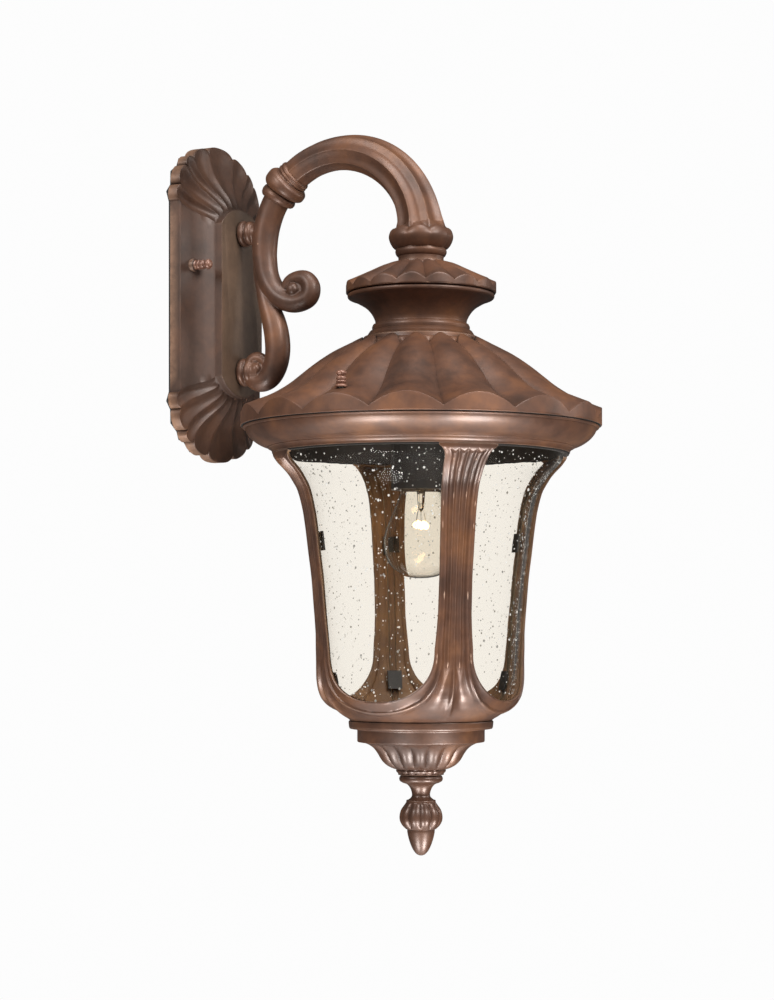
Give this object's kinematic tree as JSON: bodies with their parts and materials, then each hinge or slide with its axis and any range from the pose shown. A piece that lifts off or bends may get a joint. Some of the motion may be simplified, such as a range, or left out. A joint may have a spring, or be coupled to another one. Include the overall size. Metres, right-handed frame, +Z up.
{
  "type": "outdoor wall lantern",
  "caption": "Outdoor wall lantern with a scalloped wall plate, a gooseneck arm on a scrolled bracket, a lobed roof and a tapered cage of seeded glass.",
  "frame": {"origin": "centre of the crossbar's rear face, on the wall plane", "axes": "+Y into the wall, -Y toward the viewer standing in front of the wall, +Z up, +X to that viewer's right"},
  "size_m": [0.2878, 0.3424, 0.5815],
  "materials": {
    "bronze_paint": "hand-rubbed bronze paint on cast aluminium, satin, with lighter worn crests",
    "dark_bronze_paint": "dark bronze paint, satin",
    "zinc_steel": "zinc plated",
    "black_spring_steel": "black paint, satin",
    "seeded_glass": "clear seeded glass with small bubbles",
    "bulb_glass": "clear, polished",
    "glowing_tungsten": "glowing wire",
    "brass": "plain brass",
    "porcelain": "white glaze",
    "black_insulation": "smooth insulation",
    "white_insulation": "smooth insulation",
    "copper": "bare copper",
    "foam_gasket": "closed-cell foam",
    "orange_plastic": "moulded, ribbed"
  },
  "bodies": {
    "root": {"back_plate": "bronze_paint", "scroll_bracket": "bronze_paint", "arm_collar": "bronze_paint", "gooseneck": "bronze_paint", "upper_cap": "bronze_paint", "neck": "bronze_paint", "roof": "bronze_paint", "crossbar": "zinc_steel", "mounting_stud_left": "zinc_steel", "mounting_stud_right": "zinc_steel", "stud_nut_left": "zinc_steel", "stud_nut_right": "zinc_steel", "arm_nipple": "zinc_steel", "arm_nipple_nut": "zinc_steel", "arm_screw": "zinc_steel", "stem_nipple": "zinc_steel", "roof_lock_nut": "zinc_steel", "socket_cup": "dark_bronze_paint", "ground_screw": "brass", "socket_shell": "brass", "socket_contact": "brass", "socket_body": "porcelain", "lead_wire_black": "black_insulation", "lead_wire_white": "white_insulation", "ground_wire": "copper", "wall_gasket": "foam_gasket", "wire_connector_black": "orange_plastic", "wire_connector_white": "orange_plastic"},
    "cage": {"gallery_ring": "bronze_paint", "cage_stud_left": "zinc_steel", "cage_stud_right": "zinc_steel", "cage_frame": "bronze_paint", "glass_panel_front": "seeded_glass", "glass_panel_left": "seeded_glass", "glass_panel_rear": "seeded_glass", "glass_panel_right": "seeded_glass", "glass_clip_right_rear_upper": "black_spring_steel", "glass_clip_right_rear_lower": "black_spring_steel", "glass_clip_left_rear_upper": "black_spring_steel", "glass_clip_left_rear_lower": "black_spring_steel", "glass_clip_left_front_upper": "black_spring_steel", "glass_clip_left_front_lower": "black_spring_steel", "glass_clip_right_front_upper": "black_spring_steel", "glass_clip_right_front_lower": "black_spring_steel", "bottom_bowl": "bronze_paint", "finial_bolt": "zinc_steel"},
    "bulb": {"bulb_base": "brass", "bulb_glass": "bulb_glass", "bulb_stem": "bulb_glass", "bulb_filament": "glowing_tungsten"},
    "roof_finial_left": {"roof_finial_left": "bronze_paint"},
    "roof_finial_right": {"roof_finial_right": "bronze_paint"},
    "plate_finial_left": {"plate_finial_left": "bronze_paint"},
    "plate_finial_right": {"plate_finial_right": "bronze_paint"},
    "bottom_finial": {"bottom_finial": "bronze_paint"}
  },
  "joints": [
    {"name": "cage_drop", "type": "slide", "parent": "root", "child": "cage", "axis": [0, 0, -1], "range_m": [0, 0.15]},
    {"name": "bulb_screw", "type": "hinge", "parent": "root", "child": "bulb", "pos_m": [0, -0.1985, -0.1457], "axis": [0, 0, 1], "continuous": true},
    {"name": "roof_nut_left_turn", "type": "hinge", "parent": "root", "child": "roof_finial_left", "pos_m": [-0.131, -0.1985, -0.1161], "axis": [0, 0, 1], "continuous": true},
    {"name": "roof_nut_right_turn", "type": "hinge", "parent": "root", "child": "roof_finial_right", "pos_m": [0.131, -0.1985, -0.1161], "axis": [0, 0, 1], "continuous": true},
    {"name": "plate_nut_left_turn", "type": "hinge", "parent": "root", "child": "plate_finial_left", "pos_m": [-0.048, -0.015, 0], "axis": [0, 1, 0], "continuous": true},
    {"name": "plate_nut_right_turn", "type": "hinge", "parent": "root", "child": "plate_finial_right", "pos_m": [0.048, -0.015, 0], "axis": [0, 1, 0], "continuous": true},
    {"name": "bottom_finial_turn", "type": "hinge", "parent": "cage", "child": "bottom_finial", "pos_m": [0, -0.1985, -0.4127], "axis": [0, 0, 1], "continuous": true}
  ]
}
